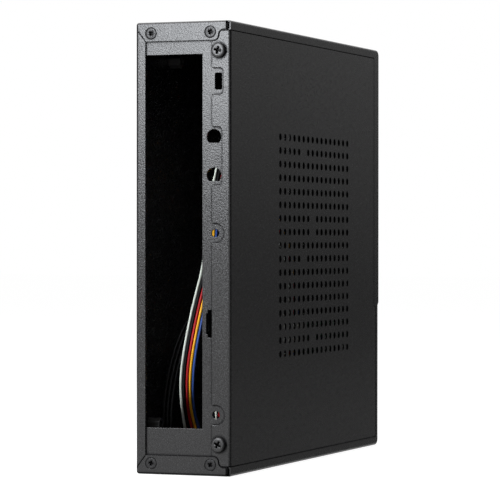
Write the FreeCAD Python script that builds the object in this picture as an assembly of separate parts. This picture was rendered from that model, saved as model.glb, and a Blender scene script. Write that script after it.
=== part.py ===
"""Slim mini ITX computer case, standing upright, in millimetres.

+Z is up.  The narrow rear face with the board aperture looks along -Y, the vented
cover along +X and the front port panel along +Y.  The origin is the centre of the
bottom face.
"""
import FreeCAD, Part
import math
import os

# Overall box of the folded shell
WIDTH = 43.5
DEPTH = 197.5
HEIGHT = 192.5
SHEET = 0.8
BEND = 1.2
CORNER = 3.0

# Frame round the cover and the step low in the front wall
LIP = 4.0
FRONT_LIP = 7.7
LOW_LIP = 3.6
STEP_IN = 1.4
STEP_HEIGHT = 69.2
LEDGE = 5.0
LEDGE_START = 12.0
JOGGLE_GAP = 0.1
JOGGLE_SLOPE = 1.9

# Folded flanges that hold the rear plate
STRIP = 4.35
TAB_DROP = 8.1
TAB_END = 7.75
TAB_ROUND = 2.0
TAB_HOLLOW = 2.6
RELIEF = 1.5
RELIEF_DEPTH = 0.6
MITRE_DROP = 2.4
MITRE_GAP = 0.3

# Rear plate: openings are set from the bottom and from the right side
PLATE_GAP = 0.45
PLATE_RETURN = 7.0
RETURN_INSET = 10.0
APERTURE_INSET = 13.25
APERTURE_LOW = 19.9
APERTURE_DROP = 14.0
LOCK_WIDTH = 3.1
LOCK_HEIGHT = 7.0
LOCK_CORNER = 0.5
LOCK_INSET = 5.85
LOCK_DROP = 25.6
ANTENNA_BORE = 6.5
ANTENNA_FLAT = 2.45
ANTENNA_INSET = 7.9
ANTENNA_DROPS = (49.1, 65.3)
SIGHT_BORE = 3.3
HIGH_SIGHT_INSET = 7.25
HIGH_SIGHT_SHARE = 0.57
LOW_SIGHT_INSET = 6.95
LOW_SIGHT_UP = 25.9
KEY_LOW = 58.5
KEY_HIGH = 70.25
KEY_END = 1.45
KEY_NARROW = 2.6
KEY_WIDE = 3.3
KEY_INSET = 8.1

# Vented cover with its folded rear flange
COVER_GAP = 0.35
FLANGE = 8.6
FLANGE_GAP = 0.5
FLANGE_CORNER = 0.8
SCALLOP_CORNER = 1.6
LOCK_SCALLOP = 3.45
LOCK_SCALLOP_HEIGHT = 11.3
ANTENNA_SCALLOP = 3.95
ANTENNA_SCALLOP_MARGIN = 8.5
SIGHT_SCALLOP = 4.3
VENT_BORE = 3.0
VENT_PITCH = 6.0
VENT_COLUMNS = 16
VENT_ROWS = 17
VENT_SIDES = 8
VENT_START = 59.8
VENT_DROP = 47.1
UNPUNCHED = ((2, 6), (7, 8), (8, 8), (10, 6), (16, 8))
HOOK_REACH = 4.5
LOW_HOOK_REACH = 2.4
HOOK_WIDTH = 14.0
LOW_HOOK_UP = 32.0
MIDDLE_HOOK_OVER_STEP = 35.8
HIGH_HOOK_DROP = 27.5
HOOK_SLOPE = 1.6

# Screws
SCREW = 2.9
SCREW_HOLE = 3.0
SCREW_GRIP = 5.0
COUNTERSINK = 5.4
PAN_HEAD = 6.2
PAN_RISE = 2.0
PAN_SIDE = 0.35
PAN_CROWN = 0.55
RECESS_WIDTH = 0.7
RECESS_LENGTH = 3.2
RECESS_DEPTH = 0.6
COLLAR = 4.4
COLLAR_RISE = 1.4
TAB_SCREW_UP = 4.75
TAB_SCREW_LEFT = 7.0
TAB_SCREW_RIGHT = 9.3
COVER_SCREW_INSET = 5.2
COVER_SCREW_UP = 13.5
COVER_SCREW_DROP = 12.7
COVER_SCREW_PLAY = 0.4

# Posts under the board, on the standard hole pattern
POST_RISE = 5.6
POST_FLATS = 5.0
POST_FLOOR = 1.0
CLINCH = 4.2
CLINCH_GAP = 0.04
HOLE_MARGIN = 0.56
FIRST_HOLE = 13.16
HIGH_HOLE = 36.02
FAR_HOLE = 29.4

# Drive bracket on long posts
BRACKET_RISE = 26.9
BRACKET_INSET = 7.75
BRACKET_LENGTH = 86.0
BRACKET_DROP = 100.5
BRACKET_TOP_GAP = 1.4
BRACKET_RIM = 5.0
DRIVE_SPAN_Y = 61.72
DRIVE_SPAN_Z = 76.6
DRIVE_HOLE = 6.0
GROMMET_LIP = 1.2
GROMMET_BORE = 3.2
GROMMET_GAP = 0.04
BRACKET_HOLE_INSET = 4.2
SLOT_COUNT = 5
SLOT_PITCH = 9.0
SLOT_LENGTH = 34.0
SLOT_WIDTH = 3.6
LONG_POST_INSET = 4.4

# Front port panel, seated from inside in a window of the stepped wall
WINDOW_WIDTH = 25.0
WINDOW_LOW = 7.0
WINDOW_HIGH = 63.0
WINDOW_CORNER = 2.0
PANEL_GAP = 0.2
PANEL_RIM = 2.4
PANEL_RIM_SHEET = 1.5
PORT_STAND = 14.6
CIRCUIT = 1.6
CIRCUIT_EDGE = 0.8
BOSS = 4.4
BOSS_X = 10.0
BOSS_UPS = (42.0, 21.0)
BOARD_SCREW = 2.5
BOARD_SCREW_HEAD = 4.6
BOARD_SCREW_RISE = 1.6
BUTTON_UP = 54.0
BUTTON_BORE = 12.0
BUTTON_GAP = 0.25
BUTTON_PROUD = 0.65
BUTTON_RIM = 0.9
BUTTON_RIM_SHEET = 1.2
BUTTON_STOP_GAP = 0.1
BUTTON_EDGE = 0.4
BUTTON_TRAVEL = 1.5
STEM = 4.0
STEM_LENGTH = 2.0
PLUNGER = 3.0
PLUNGER_GAP = 0.08
PLUNGER_SUNK = 2.0
SWITCH = 7.0
SWITCH_RISE = 5.5
USB_WIDTH = 5.8
USB_LENGTH = 13.1
USB_WALL = 0.35
USB_X = 5.5
USB_UP = 31.0
USB_BASE = 3.5
TONGUE = 1.9
TONGUE_MARGIN = 0.6
TONGUE_OFFSET = 0.35
TONGUE_BACK = 1.5
AUDIO_BODY = 8.0
AUDIO_NOSE = 5.8
AUDIO_BORE = 3.5
AUDIO_UP = 14.0
AUDIO_FLOOR = 2.0
PORT_GAP = 0.25
PIPE = 3.0
PIPE_RIM = 0.7
PIPE_RIM_SHEET = 1.0
PIPE_X = 4.2
CHIP = 2.6
CHIP_RISE = 1.2

# Front panel leads and their connectors
LEAD = 1.2
SOCKET_MARGIN = 1.5
SOCKET_HALF = 3.0
PLUG_MARGIN = 1.9
PLUG_HALF = 2.6
PLUG_LENGTH = 14.0
RUN_SHARE = 0.45

# Lead routes, points chosen by hand in a case of this width, depth and height, and
# stretched with it: the first lead's place, and the step to the next.
ROUTE_WIDTH = 43.5
ROUTE_DEPTH = 197.5
ROUTE_HEIGHT = 192.5
# The coloured leads go from the socket along the cover and down beside the rear plate,
FIRST_LEG = (
    ((3.6, 70.6, 50.0), (1.9, 0.0, 0.0)),
    ((3.6, 58.0, 50.0), (1.9, 0.0, 0.0)),
    ((6.6, 40.0, 53.0), (1.45, 0.0, 0.4)),
    ((7.4, 16.0, 49.5), (1.4, 0.0, 0.2)),
    ((4.6, -12.0, 44.0), (1.4, 0.0, 0.0)),
    ((7.0, -40.0, 49.0), (1.4, 0.0, 0.0)),
    ((8.0, -66.0, 51.5), (1.35, 0.0, 0.0)),
    ((8.1, -87.4, 38.0), (1.35, 0.0, 0.0)),
    ((8.0, -86.6, 10.5), (1.35, 1.65, 0.0)),
)
# then up past the aperture, back over the board's place and down to the plug.
SECOND_LEG = (
    ((-7.2, -85.6, 10.5), (1.35, 1.35, 0.0)),
    ((-10.1, -79.2, 30.0), (1.35, 0.0, 0.0)),
    ((-8.5, -78.8, 50.0), (1.35, 0.0, 0.0)),
    ((-4.6, -78.8, 71.0), (1.35, 0.0, 0.0)),
    ((0.9, -79.6, 91.0), (1.35, 0.0, 0.0)),
    ((5.6, -83.6, 110.0), (1.35, 0.0, 0.0)),
    ((10.2, -87.0, 131.0), (1.35, 0.0, 0.0)),
    ((11.4, -84.0, 150.0), (1.35, 0.0, 0.0)),
    ((8.6, -62.0, 156.0), (1.4, 0.0, 0.0)),
    ((3.6, -36.0, 151.0), (1.4, 0.0, 0.0)),
    ((1.6, -14.0, 135.0), (1.4, 0.3, 0.0)),
    ((3.2, -9.0, 112.0), (1.1, 1.1, 0.0)),
    ((11.6, -7.4, 95.0), (0.5, 2.0, 0.0)),
    ((14.6, -7.9, 79.0), (0.0, 2.54, 0.0)),
    ((14.6, -7.9, 66.0), (0.0, 2.54, 0.0)),
)
# Each lead's place in the row on either leg, and how far it rises to cross over
LEADS = {
    "lead_white": (1, 0, 1.6),
    "lead_black": (0, 1, 0.0),
    "lead_red": (2, 2, 0.0),
    "lead_yellow": (3, 3, 0.0),
    "lead_blue": (4, 4, 0.0),
}
DARK_ROUTE = (
    ((-10.4, 70.6, 27.0), (1.9, 0.0, 0.0)),
    ((-10.4, 54.0, 27.0), (1.9, 0.0, 0.0)),
    ((-12.4, 28.0, 19.5), (1.5, 0.0, 0.0)),
    ((-13.6, -4.0, 17.0), (1.5, 0.0, 0.0)),
    ((-15.4, -34.0, 12.5), (1.5, 0.0, 0.0)),
    ((-16.8, -60.0, 9.0), (1.5, 0.0, 0.0)),
    ((-17.6, -78.0, 12.0), (1.6, 0.0, 0.0)),
    ((-18.0, -77.0, 29.0), (1.8, 0.0, 0.0)),
    ((-16.0, -74.6, 46.0), (1.9, 0.0, 0.0)),
    ((-12.0, -70.0, 62.0), (1.9, 0.0, 0.0)),
    ((-5.6, -60.0, 76.0), (1.9, 0.0, 0.0)),
    ((-1.6, -46.0, 85.0), (2.54, 0.0, 0.0)),
    ((-1.6, -34.0, 85.0), (2.54, 0.0, 0.0)),
)
DARK_LEADS = ("usb_lead_1", "usb_lead_2", "usb_lead_3")

# Planes worked out from the sizes above
LEFT = -WIDTH / 2
RIGHT = WIDTH / 2
REAR = -DEPTH / 2
FRONT = DEPTH / 2
FLOOR = LEFT + SHEET
CEILING = RIGHT - SHEET
LOW_FRONT = FRONT - STEP_IN
WALL_BACK = LOW_FRONT - SHEET
PLATE_FACE = REAR + SHEET
PLATE_BACK = PLATE_FACE + SHEET
PLATE_RIGHT = CEILING - PLATE_GAP
APERTURE_LEFT = LEFT + STRIP
APERTURE_RIGHT = RIGHT - APERTURE_INSET
APERTURE_HIGH = HEIGHT - APERTURE_DROP
ANTENNA_UPS = (HEIGHT - ANTENNA_DROPS[0], HEIGHT - ANTENNA_DROPS[1])
LOCK_UP = HEIGHT - LOCK_DROP
SIGHT_PLACES = (
    (HIGH_SIGHT_INSET, KEY_HIGH + HIGH_SIGHT_SHARE * (ANTENNA_UPS[1] - KEY_HIGH)),
    (LOW_SIGHT_INSET, LOW_SIGHT_UP),
)
VENT_HIGH = HEIGHT - VENT_DROP
VENT_FLATS = VENT_BORE * math.cos(math.pi / VENT_SIDES)
FLANGE_LEFT = RIGHT - FLANGE
COVER_LOW = LIP + COVER_GAP
COVER_HIGH = HEIGHT - COVER_LOW
COVER_END = FRONT - FRONT_LIP - COVER_GAP
COVER_LOW_END = LOW_FRONT - LOW_LIP - COVER_GAP
HOOK_TOP = CEILING - JOGGLE_GAP
HOOK_FACE = HOOK_TOP - SHEET
UPPER_HOOKS = (STEP_HEIGHT + MIDDLE_HOOK_OVER_STEP, HEIGHT - HIGH_HOOK_DROP)
HIGH_HOLES = APERTURE_HIGH - HOLE_MARGIN
LOW_HOLES = APERTURE_LOW + HOLE_MARGIN
BRACKET_FLOOR = FLOOR + BRACKET_RISE
BRACKET_END = FRONT - BRACKET_INSET
BRACKET_BACK = BRACKET_END - BRACKET_LENGTH
BRACKET_LOW = HEIGHT - BRACKET_DROP
BRACKET_HIGH = HEIGHT - SHEET - BRACKET_TOP_GAP
PIPE_UP = (BUTTON_UP - BUTTON_BORE / 2 - BUTTON_RIM + USB_UP + USB_LENGTH / 2) / 2
PANEL_BACK = WALL_BACK - PANEL_RIM_SHEET
CIRCUIT_FACE = LOW_FRONT - PORT_STAND
CIRCUIT_BACK = CIRCUIT_FACE - CIRCUIT
RIM_FACE = PANEL_BACK - BUTTON_STOP_GAP
RIM_BACK = RIM_FACE - BUTTON_RIM_SHEET
SWITCH_FACE = CIRCUIT_FACE + SWITCH_RISE
BOARD_POSTS = (
    (REAR + FIRST_HOLE, LOW_HOLES),
    (FRONT - FAR_HOLE, LOW_HOLES),
    (REAR + HIGH_HOLE, HIGH_HOLES),
    (FRONT - FAR_HOLE, HIGH_HOLES),
)
LONG_POSTS = (
    (BRACKET_END - BRACKET_HOLE_INSET, HEIGHT - SHEET - LONG_POST_INSET),
    (BRACKET_END - BRACKET_HOLE_INSET, BRACKET_LOW + BRACKET_HOLE_INSET),
    (BRACKET_BACK + BRACKET_HOLE_INSET, HEIGHT - SHEET - LONG_POST_INSET),
)

ALONG_X = FreeCAD.Vector(1, 0, 0)
ALONG_Y = FreeCAD.Vector(0, 1, 0)
ALONG_Z = FreeCAD.Vector(0, 0, 1)
PAST = 1.0


def spot(x, y, z):
    return FreeCAD.Vector(x, y, z)


def block(x0, x1, y0, y1, z0, z1):
    return Part.makeBox(x1 - x0, y1 - y0, z1 - z0, spot(x0, y0, z0))


def rod_x(diameter, x0, x1, y, z):
    return Part.makeCylinder(diameter / 2, x1 - x0, spot(x0, y, z), ALONG_X)


def rod_y(diameter, y0, y1, x, z):
    return Part.makeCylinder(diameter / 2, y1 - y0, spot(x, y0, z), ALONG_Y)


def prism(corners, sweep):
    """Solid swept from a closed polygon along a vector."""
    wire = Part.makePolygon(list(corners) + [corners[0]])
    return Part.Face(wire).extrude(sweep)


def polygon_x(sides, flats, x0, x1, y, z):
    """Prism along X with an even number of sides, given across its flats."""
    radius = flats / 2 / math.cos(math.pi / sides)
    corners = []
    for index in range(sides):
        angle = 2 * math.pi * (index + 0.5) / sides
        corners.append(spot(x0, y + radius * math.cos(angle), z + radius * math.sin(angle)))
    return prism(corners, ALONG_X * (x1 - x0))


def joined(shapes):
    """One solid from touching or crossing pieces of one sheet or moulding."""
    return shapes[0].multiFuse(shapes[1:]).removeSplitter()


def cut_all(shape, tools):
    return shape.cut(Part.makeCompound(tools))


def rounded(shape, radius, picks):
    """Fillet the edges whose middle point and direction satisfy picks."""
    edges = []
    for edge in shape.Edges:
        parameter = (edge.FirstParameter + edge.LastParameter) / 2
        if picks(edge.valueAt(parameter), edge.tangentAt(parameter)):
            edges.append(edge)
    return shape.makeFillet(radius, edges)


def same(value, target):
    return abs(value - target) < 1e-4


def shell_block(inset):
    """Solid in the outline of the shell, pulled in by inset on every face."""
    slant = inset * (math.sqrt(2) - 1)
    left = LEFT + inset
    back = REAR + inset
    low_front = LOW_FRONT - inset
    front = FRONT - inset
    top = HEIGHT - inset
    outline = (
        spot(left, back, inset),
        spot(left, low_front, inset),
        spot(left, low_front, STEP_HEIGHT - STEP_IN + slant),
        spot(left, front, STEP_HEIGHT + slant),
        spot(left, front, top),
        spot(left, back, top),
    )
    solid = prism(outline, ALONG_X * (WIDTH - 2 * inset))

    def front_corner(middle, heading):
        low = same(middle.y, low_front) and same(middle.z, inset)
        high = same(middle.y, front) and same(middle.z, top)
        return low or high

    def fold(middle, heading):
        side = same(abs(middle.x), RIGHT - inset)
        rear = same(middle.y, back)
        return side and not rear or rear and not same(middle.x, RIGHT - inset)

    solid = rounded(solid, CORNER - inset, front_corner)
    return rounded(solid, BEND - inset, fold)


def mitre_height(x, gap):
    """Height of the top mitre line between the rear strip and the end tab."""
    slope = (TAB_DROP - MITRE_DROP) / STRIP
    return HEIGHT - MITRE_DROP - slope * (x - LEFT) + gap


def tab_face(gap, mirror):
    """Outline of an end tab in the rear plane, grown by gap along its curved end."""
    low = HEIGHT - TAB_DROP
    start = RIGHT - TAB_END
    turn = start + TAB_ROUND
    finish = turn + TAB_HOLLOW
    slot = CEILING - RELIEF
    slope = (TAB_DROP - MITRE_DROP) / STRIP
    inner = APERTURE_LEFT + (MITRE_GAP + gap) / slope
    outside = LEFT - PAST
    half = math.sqrt(0.5)
    rounding = TAB_ROUND + gap
    hollow = TAB_HOLLOW - gap

    def place(x, z):
        return spot(x, REAR - PAST, HEIGHT - z if mirror else z)

    corner = place(start, low - gap)
    first_middle = place(start + rounding * half, low + TAB_ROUND - rounding * half)
    join = place(turn + gap, low + TAB_ROUND)
    second_middle = place(finish - hollow * half, low + TAB_ROUND + hollow * half)
    level = low + TAB_ROUND + hollow
    last = place(finish, level)
    edge = place(slot, level)
    top_right = place(slot, HEIGHT + PAST)
    top_left = place(outside, HEIGHT + PAST)
    mitre_out = place(outside, mitre_height(outside, MITRE_GAP))
    mitre_in = place(inner, low - gap)
    edges = [
        Part.LineSegment(mitre_in, corner).toShape(),
        Part.Arc(corner, first_middle, join).toShape(),
        Part.Arc(join, second_middle, last).toShape(),
        Part.LineSegment(last, edge).toShape(),
        Part.LineSegment(edge, top_right).toShape(),
        Part.LineSegment(top_right, top_left).toShape(),
        Part.LineSegment(top_left, mitre_out).toShape(),
        Part.LineSegment(mitre_out, mitre_in).toShape(),
    ]
    return Part.Face(Part.Wire(edges))


def rear_flanges():
    """Cutter that leaves only the strip, the end tabs and the lip ends of the rear wall."""
    reach = SHEET + PAST
    wall = block(LEFT - PAST, RIGHT + PAST, REAR - PAST, PLATE_FACE, -PAST, HEIGHT + PAST)
    outside = LEFT - PAST
    outer = mitre_height(outside, 0)
    inner = mitre_height(APERTURE_LEFT, 0)
    strip = prism((
        spot(outside, REAR - PAST, HEIGHT - outer),
        spot(APERTURE_LEFT, REAR - PAST, HEIGHT - inner),
        spot(APERTURE_LEFT, REAR - PAST, inner),
        spot(outside, REAR - PAST, outer),
    ), ALONG_Y * reach)
    tabs = [tab_face(0, mirror).extrude(ALONG_Y * reach) for mirror in (False, True)]
    lips = [
        block(CEILING, RIGHT + PAST, REAR - PAST, PLATE_FACE, HEIGHT - LIP, HEIGHT + PAST),
        block(CEILING, RIGHT + PAST, REAR - PAST, PLATE_FACE, -PAST, LIP),
    ]
    return cut_all(wall, [strip] + tabs + lips)


def joggle(y0, y1, mirror):
    """Ledge stepped down from a long lip, on which the cover's edge lies."""
    edge = HEIGHT - LIP
    low = edge - LEDGE
    root = CEILING + SHEET / 2

    def place(x, z):
        return spot(x, y0, HEIGHT - z if mirror else z)

    return prism((
        place(root, edge + JOGGLE_SLOPE),
        place(HOOK_FACE, edge + SHEET / 2),
        place(HOOK_FACE, low),
        place(HOOK_TOP, low),
        place(HOOK_TOP, edge),
        place(root, edge + SHEET / 2),
    ), ALONG_Y * (y1 - y0))


def base_shell():
    """Floor sheet with its four walls, lips and rear flanges, folded and welded."""
    shell = shell_block(0).cut(shell_block(SHEET))
    opening_top = HEIGHT - LIP
    low_end = LOW_FRONT - LOW_LIP
    high_end = FRONT - FRONT_LIP
    step = STEP_HEIGHT - STEP_IN
    cuts = [rear_flanges()]
    cuts.append(block(CEILING, RIGHT + PAST, REAR - PAST, high_end, LIP, opening_top))
    cuts.append(block(CEILING, RIGHT + PAST, REAR - PAST, low_end, LIP, step))
    for z0, z1 in ((HEIGHT - LIP, HEIGHT + PAST), (-PAST, LIP)):
        cuts.append(block(CEILING - RELIEF, CEILING, REAR - PAST, PLATE_FACE + RELIEF_DEPTH, z0, z1))
    half = WINDOW_WIDTH / 2
    window = block(-half, half, WALL_BACK - PAST, LOW_FRONT + PAST, WINDOW_LOW, WINDOW_HIGH)
    cuts.append(rounded(window, WINDOW_CORNER, lambda middle, heading: abs(heading.y) > 0.9))
    for x, z in tab_screw_places():
        cuts.append(Part.makeCone(COUNTERSINK / 2, COUNTERSINK / 2 - SHEET, SHEET, spot(x, REAR, z), ALONG_Y))
    for y, z in BOARD_POSTS + LONG_POSTS:
        cuts.append(rod_x(CLINCH + CLINCH_GAP, LEFT - PAST, FLOOR + PAST, y, z))
    shell = cut_all(shell, cuts)
    ledges = [joggle(REAR + LEDGE_START, high_end - LEDGE_START, mirror) for mirror in (False, True)]
    return joined([shell] + ledges)


def tab_screw_places():
    places = []
    for x in (LEFT + TAB_SCREW_LEFT, RIGHT - TAB_SCREW_RIGHT):
        places.append((x, HEIGHT - TAB_SCREW_UP))
        places.append((x, TAB_SCREW_UP))
    return places


def cover_screw_places():
    x = RIGHT - COVER_SCREW_INSET
    return [(x, COVER_SCREW_UP), (x, HEIGHT - COVER_SCREW_DROP)]


def lock_slot():
    x = RIGHT - LOCK_INSET
    half_x = LOCK_WIDTH / 2
    half_z = LOCK_HEIGHT / 2
    slot = block(x - half_x, x + half_x, REAR - PAST, PLATE_BACK + PAST, LOCK_UP - half_z, LOCK_UP + half_z)
    return rounded(slot, LOCK_CORNER, lambda middle, heading: abs(heading.y) > 0.9)


def antenna_hole(up):
    x = RIGHT - ANTENNA_INSET
    radius = ANTENNA_BORE / 2
    hole = rod_y(ANTENNA_BORE, PLATE_FACE - PAST, PLATE_BACK + PAST, x, up)
    under = block(x - radius, x + radius, PLATE_FACE - 2 * PAST, PLATE_BACK + 2 * PAST,
                  up - 2 * radius, up - ANTENNA_FLAT)
    return hole.cut(under)


def key_slot():
    """Stepped slot whose ends are narrower than its middle."""
    right = RIGHT - KEY_INSET
    back = PLATE_BACK + PAST
    tall = block(right - KEY_NARROW, right, PLATE_FACE - PAST, back, KEY_LOW, KEY_HIGH)
    wide = block(right - KEY_WIDE, right, PLATE_FACE - PAST, back, KEY_LOW + KEY_END, KEY_HIGH - KEY_END)
    return tall.fuse(wide)


def io_plate():
    """Rear plate with the board aperture, behind the shell's strip and tabs."""
    left = FLOOR + PLATE_GAP
    low = SHEET + PLATE_GAP
    high = HEIGHT - low
    folded = block(left, PLATE_RIGHT, PLATE_FACE, PLATE_FACE + PLATE_RETURN, low, high)
    folded = rounded(folded, BEND, lambda m, h: same(m.x, PLATE_RIGHT) and same(m.y, PLATE_FACE))
    inside = block(left - PAST, PLATE_RIGHT - SHEET, PLATE_BACK, PLATE_FACE + 2 * PLATE_RETURN,
                   low - PAST, high + PAST)
    inside = rounded(inside, BEND - SHEET,
                     lambda m, h: same(m.x, PLATE_RIGHT - SHEET) and same(m.y, PLATE_BACK))
    plate = folded.cut(inside)
    ends = [
        block(left - PAST, PLATE_RIGHT + PAST, PLATE_BACK + BEND, PLATE_FACE + 2 * PLATE_RETURN, z0, z1)
        for z0, z1 in ((low - PAST, low + RETURN_INSET), (high - RETURN_INSET, high + PAST))
    ]
    plate = cut_all(plate, ends)
    collars = []
    for x, z in tab_screw_places() + cover_screw_places():
        collars.append(rod_y(COLLAR, PLATE_BACK - SHEET / 2, PLATE_BACK + COLLAR_RISE, x, z))
    plate = joined([plate] + collars)
    cuts = [block(APERTURE_LEFT, APERTURE_RIGHT, PLATE_FACE - PAST, PLATE_BACK + PAST,
                  APERTURE_LOW, APERTURE_HIGH)]
    for x, z in tab_screw_places() + cover_screw_places():
        cuts.append(rod_y(SCREW_HOLE, PLATE_FACE - PAST, PLATE_BACK + 2 * COLLAR_RISE, x, z))
    cuts.append(lock_slot())
    cuts.append(key_slot())
    for up in ANTENNA_UPS:
        cuts.append(antenna_hole(up))
    for inset, up in SIGHT_PLACES:
        cuts.append(rod_y(SIGHT_BORE, PLATE_FACE - PAST, PLATE_BACK + PAST, RIGHT - inset, up))
    return cut_all(plate, cuts)


def scallop(inset, height, up):
    """Recess with round inner corners in the free edge of the cover's flange."""
    right = RIGHT - inset
    half = height / 2
    recess = block(FLANGE_LEFT - PAST, right, REAR - PAST, PLATE_FACE + PAST, up - half, up + half)
    return rounded(recess, SCALLOP_CORNER, lambda m, h: same(m.x, right) and abs(h.y) > 0.9)


def flange_cuts():
    """Recesses that clear the rear plate's openings, and the ends beside the tabs."""
    middle = sum(ANTENNA_UPS) / 2
    span = max(ANTENNA_UPS) - min(ANTENNA_UPS) + ANTENNA_SCALLOP_MARGIN
    cuts = [
        scallop(LOCK_SCALLOP, LOCK_SCALLOP_HEIGHT, LOCK_UP),
        scallop(ANTENNA_SCALLOP, span, middle),
    ]
    for inset, up in SIGHT_PLACES:
        cuts.append(rod_y(2 * SIGHT_SCALLOP, REAR - PAST, PLATE_FACE + PAST, RIGHT - inset, up))
    for mirror in (False, True):
        cuts.append(tab_face(FLANGE_GAP, mirror).extrude(ALONG_Y * (PAST + SHEET)))
    return cuts


def vent_cuts():
    """Grid of vent holes through the cover, without the places left unpunched."""
    cuts = []
    for row in range(1, VENT_ROWS + 1):
        for column in range(1, VENT_COLUMNS + 1):
            if (row, column) in UNPUNCHED:
                continue
            y = REAR + VENT_START + (column - 1) * VENT_PITCH
            z = VENT_HIGH - (row - 1) * VENT_PITCH
            cuts.append(polygon_x(VENT_SIDES, VENT_FLATS, CEILING - PAST, RIGHT + PAST, y, z))
    return cuts


def cover_hook(edge, reach, up):
    """Tongue stepped down from the cover's front edge to tuck behind the shell's lip."""
    root = CEILING + SHEET / 2
    low = up - HOOK_WIDTH / 2
    return prism((
        spot(root, edge - HOOK_SLOPE - SHEET, low),
        spot(HOOK_FACE, edge - HOOK_SLOPE + SHEET / 2, low),
        spot(HOOK_FACE, edge + reach, low),
        spot(HOOK_TOP, edge + reach, low),
        spot(HOOK_TOP, edge - SHEET / 2, low),
        spot(root, edge - SHEET, low),
    ), ALONG_Z * HOOK_WIDTH)


def side_cover():
    """Vented cover folded over the rear plate, flush within the shell's lips."""
    folded = block(FLANGE_LEFT, RIGHT, REAR, COVER_LOW_END, COVER_LOW, COVER_HIGH)
    folded = rounded(folded, BEND, lambda m, h: same(m.x, RIGHT) and same(m.y, REAR))
    inside = block(FLANGE_LEFT - PAST, CEILING, PLATE_FACE, FRONT, COVER_LOW - PAST, COVER_HIGH + PAST)
    inside = rounded(inside, BEND - SHEET, lambda m, h: same(m.x, CEILING) and same(m.y, PLATE_FACE))
    cover = folded.cut(inside)
    upper = block(CEILING - PAST, RIGHT + PAST, COVER_END, FRONT,
                  STEP_HEIGHT - STEP_IN - COVER_GAP, HEIGHT)
    cover = cut_all(cover, flange_cuts() + [upper])

    def scallop_edge(middle, heading):
        free = same(middle.x, FLANGE_LEFT) and abs(heading.y) > 0.9
        return free and not any(abs(middle.z - up) < 2 * SIGHT_SCALLOP for inset, up in SIGHT_PLACES)

    cover = rounded(cover, FLANGE_CORNER, scallop_edge)
    hooks = [cover_hook(COVER_LOW_END, LOW_HOOK_REACH, LOW_HOOK_UP)]
    for up in UPPER_HOOKS:
        hooks.append(cover_hook(COVER_END, HOOK_REACH, up))
    cover = joined([cover] + hooks)
    holes = [rod_y(SCREW_HOLE + COVER_SCREW_PLAY, REAR - PAST, PLATE_FACE + PAST, x, z)
             for x, z in cover_screw_places()]
    return cut_all(cover, vent_cuts() + holes)


def cross_recess(depth, face):
    """Cross-shaped driver recess, as two crossed bars behind a face."""
    wide = RECESS_LENGTH / 2
    thin = RECESS_WIDTH / 2
    flat = block(-wide, wide, face - PAST, face + depth, -thin, thin)
    tall = block(-thin, thin, face - PAST, face + depth, -wide, wide)
    return flat.fuse(tall)


def countersunk_screw():
    """Flat-headed screw along +Y whose head face lies at Y = 0."""
    head = Part.makeCone(COUNTERSINK / 2 - CLINCH_GAP, COUNTERSINK / 2 - SHEET - CLINCH_GAP, SHEET,
                         spot(0, 0, 0), ALONG_Y)
    shank = rod_y(SCREW, 0, SHEET + SCREW_GRIP, 0, 0)
    return joined([head, shank]).cut(cross_recess(RECESS_DEPTH, 0))


def pan_screw(diameter, head, rise, grip):
    """Screw with a raised, bevelled head along +Y, whose seat lies at Y = 0."""
    side = -rise * PAN_SIDE
    crown = Part.makeCone(head / 2 * PAN_CROWN, head / 2, rise + side, spot(0, -rise, 0), ALONG_Y)
    rim = rod_y(head, side, 0, 0, 0)
    shank = rod_y(diameter, 0, grip, 0, 0)
    return joined([crown, rim, shank]).cut(cross_recess(RECESS_DEPTH, -rise))


def moved(shape, x, y, z):
    copy = shape.copy()
    copy.translate(spot(x, y, z))
    return copy


def turned_to_x(shape):
    """The same screw pointing along -X, for a seat that faces +X."""
    copy = shape.copy()
    copy.rotate(spot(0, 0, 0), ALONG_Z, 90)
    return copy


def hex_post(height, y, z):
    """Clinched hexagonal post on the floor, threaded from its free end."""
    post = polygon_x(6, POST_FLATS, FLOOR, FLOOR + height, y, z)
    shank = rod_x(CLINCH, LEFT, FLOOR + POST_FLOOR, y, z)
    bore = rod_x(SCREW_HOLE, FLOOR + POST_FLOOR, FLOOR + height + PAST, y, z)
    return joined([post, shank]).cut(bore)


def board_posts():
    return Part.makeCompound([hex_post(POST_RISE, y, z) for y, z in BOARD_POSTS])


def bracket_posts():
    return Part.makeCompound([hex_post(BRACKET_RISE, y, z) for y, z in LONG_POSTS])


def drive_holes():
    middle_y = (BRACKET_BACK + BRACKET_END) / 2
    middle_z = (BRACKET_LOW + BRACKET_HIGH) / 2
    half_y = DRIVE_SPAN_Y / 2
    half_z = DRIVE_SPAN_Z / 2
    return [(middle_y + a * half_y, middle_z + b * half_z) for a in (-1, 1) for b in (-1, 1)]


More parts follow.
